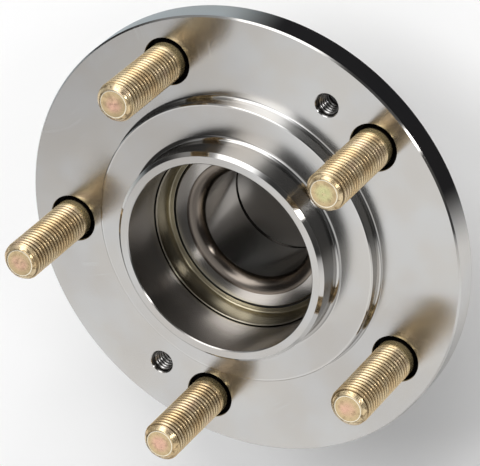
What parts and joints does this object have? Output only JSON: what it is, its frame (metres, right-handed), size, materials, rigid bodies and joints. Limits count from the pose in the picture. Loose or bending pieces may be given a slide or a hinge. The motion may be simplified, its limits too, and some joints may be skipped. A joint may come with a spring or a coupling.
{
  "type": "wheel hub bearing",
  "caption": "Flanged rear wheel hub bearing unit: the hub turns on two rows of tapered rollers round a fixed spindle, with pressed wheel studs and seals.",
  "frame": {"origin": "centre of the flange's outboard face, which the brake rotor sits against, on the hub axis", "axes": "+Z along the hub axis towards the wheel; the first wheel stud lies 18 degrees from +X towards +Y"},
  "size_m": [0.1396, 0.1396, 0.0863],
  "materials": {
    "ground_hub_steel": "ground and turned steel",
    "bearing_steel": "ground bearing steel, heat tinted at the unground corners",
    "cage_steel": "pressed sheet steel",
    "roller_steel": "polished bearing steel",
    "seal_zinc": "yellow zinc plated sheet steel",
    "seal_rubber": "nitrile rubber",
    "stud_zinc": "yellow zinc plated steel"
  },
  "bodies": {
    "inner_rings": {"inner_ring_outboard": "bearing_steel", "inner_ring_inboard": "bearing_steel"},
    "hub": {"hub_flange": "ground_hub_steel", "wheel_stud_1": "stud_zinc", "wheel_stud_2": "stud_zinc", "wheel_stud_3": "stud_zinc", "wheel_stud_4": "stud_zinc", "wheel_stud_5": "stud_zinc", "seal_case_outboard": "seal_zinc", "seal_lip_outboard": "seal_rubber", "seal_case_inboard": "seal_zinc", "seal_lip_inboard": "seal_rubber"},
    "cage_outboard": {"roller_cage_outboard": "cage_steel"},
    "roller_outboard_01": {"roller_outboard_01": "roller_steel"},
    "roller_outboard_02": {"roller_outboard_02": "roller_steel"},
    "roller_outboard_03": {"roller_outboard_03": "roller_steel"},
    "roller_outboard_04": {"roller_outboard_04": "roller_steel"},
    "roller_outboard_05": {"roller_outboard_05": "roller_steel"},
    "roller_outboard_06": {"roller_outboard_06": "roller_steel"},
    "roller_outboard_07": {"roller_outboard_07": "roller_steel"},
    "roller_outboard_08": {"roller_outboard_08": "roller_steel"},
    "roller_outboard_09": {"roller_outboard_09": "roller_steel"},
    "roller_outboard_10": {"roller_outboard_10": "roller_steel"},
    "roller_outboard_11": {"roller_outboard_11": "roller_steel"},
    "roller_outboard_12": {"roller_outboard_12": "roller_steel"},
    "roller_outboard_13": {"roller_outboard_13": "roller_steel"},
    "roller_outboard_14": {"roller_outboard_14": "roller_steel"},
    "roller_outboard_15": {"roller_outboard_15": "roller_steel"},
    "roller_outboard_16": {"roller_outboard_16": "roller_steel"},
    "roller_outboard_17": {"roller_outboard_17": "roller_steel"},
    "roller_outboard_18": {"roller_outboard_18": "roller_steel"},
    "cage_inboard": {"roller_cage_inboard": "cage_steel"},
    "roller_inboard_01": {"roller_inboard_01": "roller_steel"},
    "roller_inboard_02": {"roller_inboard_02": "roller_steel"},
    "roller_inboard_03": {"roller_inboard_03": "roller_steel"},
    "roller_inboard_04": {"roller_inboard_04": "roller_steel"},
    "roller_inboard_05": {"roller_inboard_05": "roller_steel"},
    "roller_inboard_06": {"roller_inboard_06": "roller_steel"},
    "roller_inboard_07": {"roller_inboard_07": "roller_steel"},
    "roller_inboard_08": {"roller_inboard_08": "roller_steel"},
    "roller_inboard_09": {"roller_inboard_09": "roller_steel"},
    "roller_inboard_10": {"roller_inboard_10": "roller_steel"},
    "roller_inboard_11": {"roller_inboard_11": "roller_steel"},
    "roller_inboard_12": {"roller_inboard_12": "roller_steel"},
    "roller_inboard_13": {"roller_inboard_13": "roller_steel"},
    "roller_inboard_14": {"roller_inboard_14": "roller_steel"},
    "roller_inboard_15": {"roller_inboard_15": "roller_steel"},
    "roller_inboard_16": {"roller_inboard_16": "roller_steel"},
    "roller_inboard_17": {"roller_inboard_17": "roller_steel"},
    "roller_inboard_18": {"roller_inboard_18": "roller_steel"}
  },
  "joints": [
    {"name": "hub_spin", "type": "hinge", "parent": "inner_rings", "child": "hub", "pos_m": [0, 0, 0], "axis": [0, 0, 1], "continuous": true},
    {"name": "outboard_cage_orbit", "type": "hinge", "parent": "inner_rings", "child": "cage_outboard", "pos_m": [0, 0, -0.02], "axis": [0, 0, 1], "continuous": true},
    {"name": "inboard_cage_orbit", "type": "hinge", "parent": "inner_rings", "child": "cage_inboard", "pos_m": [0, 0, -0.042], "axis": [0, 0, 1], "continuous": true},
    {"name": "outboard_roller_01_spin", "type": "hinge", "parent": "cage_outboard", "child": "roller_outboard_01", "pos_m": [0.02445, 0, -0.01949], "axis": [0.225, 0, 0.9744], "continuous": true},
    {"name": "outboard_roller_02_spin", "type": "hinge", "parent": "cage_outboard", "child": "roller_outboard_02", "pos_m": [0.02298, 0.00836, -0.01949], "axis": [0.2114, 0.0769, 0.9744], "continuous": true},
    {"name": "outboard_roller_03_spin", "type": "hinge", "parent": "cage_outboard", "child": "roller_outboard_03", "pos_m": [0.01873, 0.01572, -0.01949], "axis": [0.1723, 0.1446, 0.9744], "continuous": true},
    {"name": "outboard_roller_04_spin", "type": "hinge", "parent": "cage_outboard", "child": "roller_outboard_04", "pos_m": [0.01222, 0.02117, -0.01949], "axis": [0.1125, 0.1948, 0.9744], "continuous": true},
    {"name": "outboard_roller_05_spin", "type": "hinge", "parent": "cage_outboard", "child": "roller_outboard_05", "pos_m": [0.00425, 0.02408, -0.01949], "axis": [0.0391, 0.2215, 0.9744], "continuous": true},
    {"name": "outboard_roller_06_spin", "type": "hinge", "parent": "cage_outboard", "child": "roller_outboard_06", "pos_m": [-0.00425, 0.02408, -0.01949], "axis": [-0.0391, 0.2215, 0.9744], "continuous": true},
    {"name": "outboard_roller_07_spin", "type": "hinge", "parent": "cage_outboard", "child": "roller_outboard_07", "pos_m": [-0.01222, 0.02117, -0.01949], "axis": [-0.1125, 0.1948, 0.9744], "continuous": true},
    {"name": "outboard_roller_08_spin", "type": "hinge", "parent": "cage_outboard", "child": "roller_outboard_08", "pos_m": [-0.01873, 0.01572, -0.01949], "axis": [-0.1723, 0.1446, 0.9744], "continuous": true},
    {"name": "outboard_roller_09_spin", "type": "hinge", "parent": "cage_outboard", "child": "roller_outboard_09", "pos_m": [-0.02298, 0.00836, -0.01949], "axis": [-0.2114, 0.0769, 0.9744], "continuous": true},
    {"name": "outboard_roller_10_spin", "type": "hinge", "parent": "cage_outboard", "child": "roller_outboard_10", "pos_m": [-0.02445, 0, -0.01949], "axis": [-0.225, 0, 0.9744], "continuous": true},
    {"name": "outboard_roller_11_spin", "type": "hinge", "parent": "cage_outboard", "child": "roller_outboard_11", "pos_m": [-0.02298, -0.00836, -0.01949], "axis": [-0.2114, -0.0769, 0.9744], "continuous": true},
    {"name": "outboard_roller_12_spin", "type": "hinge", "parent": "cage_outboard", "child": "roller_outboard_12", "pos_m": [-0.01873, -0.01572, -0.01949], "axis": [-0.1723, -0.1446, 0.9744], "continuous": true},
    {"name": "outboard_roller_13_spin", "type": "hinge", "parent": "cage_outboard", "child": "roller_outboard_13", "pos_m": [-0.01222, -0.02117, -0.01949], "axis": [-0.1125, -0.1948, 0.9744], "continuous": true},
    {"name": "outboard_roller_14_spin", "type": "hinge", "parent": "cage_outboard", "child": "roller_outboard_14", "pos_m": [-0.00425, -0.02408, -0.01949], "axis": [-0.0391, -0.2215, 0.9744], "continuous": true},
    {"name": "outboard_roller_15_spin", "type": "hinge", "parent": "cage_outboard", "child": "roller_outboard_15", "pos_m": [0.00425, -0.02408, -0.01949], "axis": [0.0391, -0.2215, 0.9744], "continuous": true},
    {"name": "outboard_roller_16_spin", "type": "hinge", "parent": "cage_outboard", "child": "roller_outboard_16", "pos_m": [0.01222, -0.02117, -0.01949], "axis": [0.1125, -0.1948, 0.9744], "continuous": true},
    {"name": "outboard_roller_17_spin", "type": "hinge", "parent": "cage_outboard", "child": "roller_outboard_17", "pos_m": [0.01873, -0.01572, -0.01949], "axis": [0.1723, -0.1446, 0.9744], "continuous": true},
    {"name": "outboard_roller_18_spin", "type": "hinge", "parent": "cage_outboard", "child": "roller_outboard_18", "pos_m": [0.02298, -0.00836, -0.01949], "axis": [0.2114, -0.0769, 0.9744], "continuous": true},
    {"name": "inboard_roller_01_spin", "type": "hinge", "parent": "cage_inboard", "child": "roller_inboard_01", "pos_m": [0.02445, 0, -0.04251], "axis": [-0.225, 0, 0.9744], "continuous": true},
    {"name": "inboard_roller_02_spin", "type": "hinge", "parent": "cage_inboard", "child": "roller_inboard_02", "pos_m": [0.02298, 0.00836, -0.04251], "axis": [-0.2114, -0.0769, 0.9744], "continuous": true},
    {"name": "inboard_roller_03_spin", "type": "hinge", "parent": "cage_inboard", "child": "roller_inboard_03", "pos_m": [0.01873, 0.01572, -0.04251], "axis": [-0.1723, -0.1446, 0.9744], "continuous": true},
    {"name": "inboard_roller_04_spin", "type": "hinge", "parent": "cage_inboard", "child": "roller_inboard_04", "pos_m": [0.01222, 0.02117, -0.04251], "axis": [-0.1125, -0.1948, 0.9744], "continuous": true},
    {"name": "inboard_roller_05_spin", "type": "hinge", "parent": "cage_inboard", "child": "roller_inboard_05", "pos_m": [0.00425, 0.02408, -0.04251], "axis": [-0.0391, -0.2215, 0.9744], "continuous": true},
    {"name": "inboard_roller_06_spin", "type": "hinge", "parent": "cage_inboard", "child": "roller_inboard_06", "pos_m": [-0.00425, 0.02408, -0.04251], "axis": [0.0391, -0.2215, 0.9744], "continuous": true},
    {"name": "inboard_roller_07_spin", "type": "hinge", "parent": "cage_inboard", "child": "roller_inboard_07", "pos_m": [-0.01222, 0.02117, -0.04251], "axis": [0.1125, -0.1948, 0.9744], "continuous": true},
    {"name": "inboard_roller_08_spin", "type": "hinge", "parent": "cage_inboard", "child": "roller_inboard_08", "pos_m": [-0.01873, 0.01572, -0.04251], "axis": [0.1723, -0.1446, 0.9744], "continuous": true},
    {"name": "inboard_roller_09_spin", "type": "hinge", "parent": "cage_inboard", "child": "roller_inboard_09", "pos_m": [-0.02298, 0.00836, -0.04251], "axis": [0.2114, -0.0769, 0.9744], "continuous": true},
    {"name": "inboard_roller_10_spin", "type": "hinge", "parent": "cage_inboard", "child": "roller_inboard_10", "pos_m": [-0.02445, 0, -0.04251], "axis": [0.225, 0, 0.9744], "continuous": true},
    {"name": "inboard_roller_11_spin", "type": "hinge", "parent": "cage_inboard", "child": "roller_inboard_11", "pos_m": [-0.02298, -0.00836, -0.04251], "axis": [0.2114, 0.0769, 0.9744], "continuous": true},
    {"name": "inboard_roller_12_spin", "type": "hinge", "parent": "cage_inboard", "child": "roller_inboard_12", "pos_m": [-0.01873, -0.01572, -0.04251], "axis": [0.1723, 0.1446, 0.9744], "continuous": true},
    {"name": "inboard_roller_13_spin", "type": "hinge", "parent": "cage_inboard", "child": "roller_inboard_13", "pos_m": [-0.01222, -0.02117, -0.04251], "axis": [0.1125, 0.1948, 0.9744], "continuous": true},
    {"name": "inboard_roller_14_spin", "type": "hinge", "parent": "cage_inboard", "child": "roller_inboard_14", "pos_m": [-0.00425, -0.02408, -0.04251], "axis": [0.0391, 0.2215, 0.9744], "continuous": true},
    {"name": "inboard_roller_15_spin", "type": "hinge", "parent": "cage_inboard", "child": "roller_inboard_15", "pos_m": [0.00425, -0.02408, -0.04251], "axis": [-0.0391, 0.2215, 0.9744], "continuous": true},
    {"name": "inboard_roller_16_spin", "type": "hinge", "parent": "cage_inboard", "child": "roller_inboard_16", "pos_m": [0.01222, -0.02117, -0.04251], "axis": [-0.1125, 0.1948, 0.9744], "continuous": true},
    {"name": "inboard_roller_17_spin", "type": "hinge", "parent": "cage_inboard", "child": "roller_inboard_17", "pos_m": [0.01873, -0.01572, -0.04251], "axis": [-0.1723, 0.1446, 0.9744], "continuous": true},
    {"name": "inboard_roller_18_spin", "type": "hinge", "parent": "cage_inboard", "child": "roller_inboard_18", "pos_m": [0.02298, -0.00836, -0.04251], "axis": [-0.2114, 0.0769, 0.9744], "continuous": true}
  ],
  "couplings": [
    {"joint": "outboard_cage_orbit", "follows": "hub_spin", "ratio": 0.56978},
    {"joint": "inboard_cage_orbit", "follows": "hub_spin", "ratio": 0.56978},
    {"joint": "outboard_roller_01_spin", "follows": "hub_spin", "ratio": 3.4231},
    {"joint": "outboard_roller_02_spin", "follows": "hub_spin", "ratio": 3.4231},
    {"joint": "outboard_roller_03_spin", "follows": "hub_spin", "ratio": 3.4231},
    {"joint": "outboard_roller_04_spin", "follows": "hub_spin", "ratio": 3.4231},
    {"joint": "outboard_roller_05_spin", "follows": "hub_spin", "ratio": 3.4231},
    {"joint": "outboard_roller_06_spin", "follows": "hub_spin", "ratio": 3.4231},
    {"joint": "outboard_roller_07_spin", "follows": "hub_spin", "ratio": 3.4231},
    {"joint": "outboard_roller_08_spin", "follows": "hub_spin", "ratio": 3.4231},
    {"joint": "outboard_roller_09_spin", "follows": "hub_spin", "ratio": 3.4231},
    {"joint": "outboard_roller_10_spin", "follows": "hub_spin", "ratio": 3.4231},
    {"joint": "outboard_roller_11_spin", "follows": "hub_spin", "ratio": 3.4231},
    {"joint": "outboard_roller_12_spin", "follows": "hub_spin", "ratio": 3.4231},
    {"joint": "outboard_roller_13_spin", "follows": "hub_spin", "ratio": 3.4231},
    {"joint": "outboard_roller_14_spin", "follows": "hub_spin", "ratio": 3.4231},
    {"joint": "outboard_roller_15_spin", "follows": "hub_spin", "ratio": 3.4231},
    {"joint": "outboard_roller_16_spin", "follows": "hub_spin", "ratio": 3.4231},
    {"joint": "outboard_roller_17_spin", "follows": "hub_spin", "ratio": 3.4231},
    {"joint": "outboard_roller_18_spin", "follows": "hub_spin", "ratio": 3.4231},
    {"joint": "inboard_roller_01_spin", "follows": "hub_spin", "ratio": 3.4231},
    {"joint": "inboard_roller_02_spin", "follows": "hub_spin", "ratio": 3.4231},
    {"joint": "inboard_roller_03_spin", "follows": "hub_spin", "ratio": 3.4231},
    {"joint": "inboard_roller_04_spin", "follows": "hub_spin", "ratio": 3.4231},
    {"joint": "inboard_roller_05_spin", "follows": "hub_spin", "ratio": 3.4231},
    {"joint": "inboard_roller_06_spin", "follows": "hub_spin", "ratio": 3.4231},
    {"joint": "inboard_roller_07_spin", "follows": "hub_spin", "ratio": 3.4231},
    {"joint": "inboard_roller_08_spin", "follows": "hub_spin", "ratio": 3.4231},
    {"joint": "inboard_roller_09_spin", "follows": "hub_spin", "ratio": 3.4231},
    {"joint": "inboard_roller_10_spin", "follows": "hub_spin", "ratio": 3.4231},
    {"joint": "inboard_roller_11_spin", "follows": "hub_spin", "ratio": 3.4231},
    {"joint": "inboard_roller_12_spin", "follows": "hub_spin", "ratio": 3.4231},
    {"joint": "inboard_roller_13_spin", "follows": "hub_spin", "ratio": 3.4231},
    {"joint": "inboard_roller_14_spin", "follows": "hub_spin", "ratio": 3.4231},
    {"joint": "inboard_roller_15_spin", "follows": "hub_spin", "ratio": 3.4231},
    {"joint": "inboard_roller_16_spin", "follows": "hub_spin", "ratio": 3.4231},
    {"joint": "inboard_roller_17_spin", "follows": "hub_spin", "ratio": 3.4231},
    {"joint": "inboard_roller_18_spin", "follows": "hub_spin", "ratio": 3.4231}
  ]
}
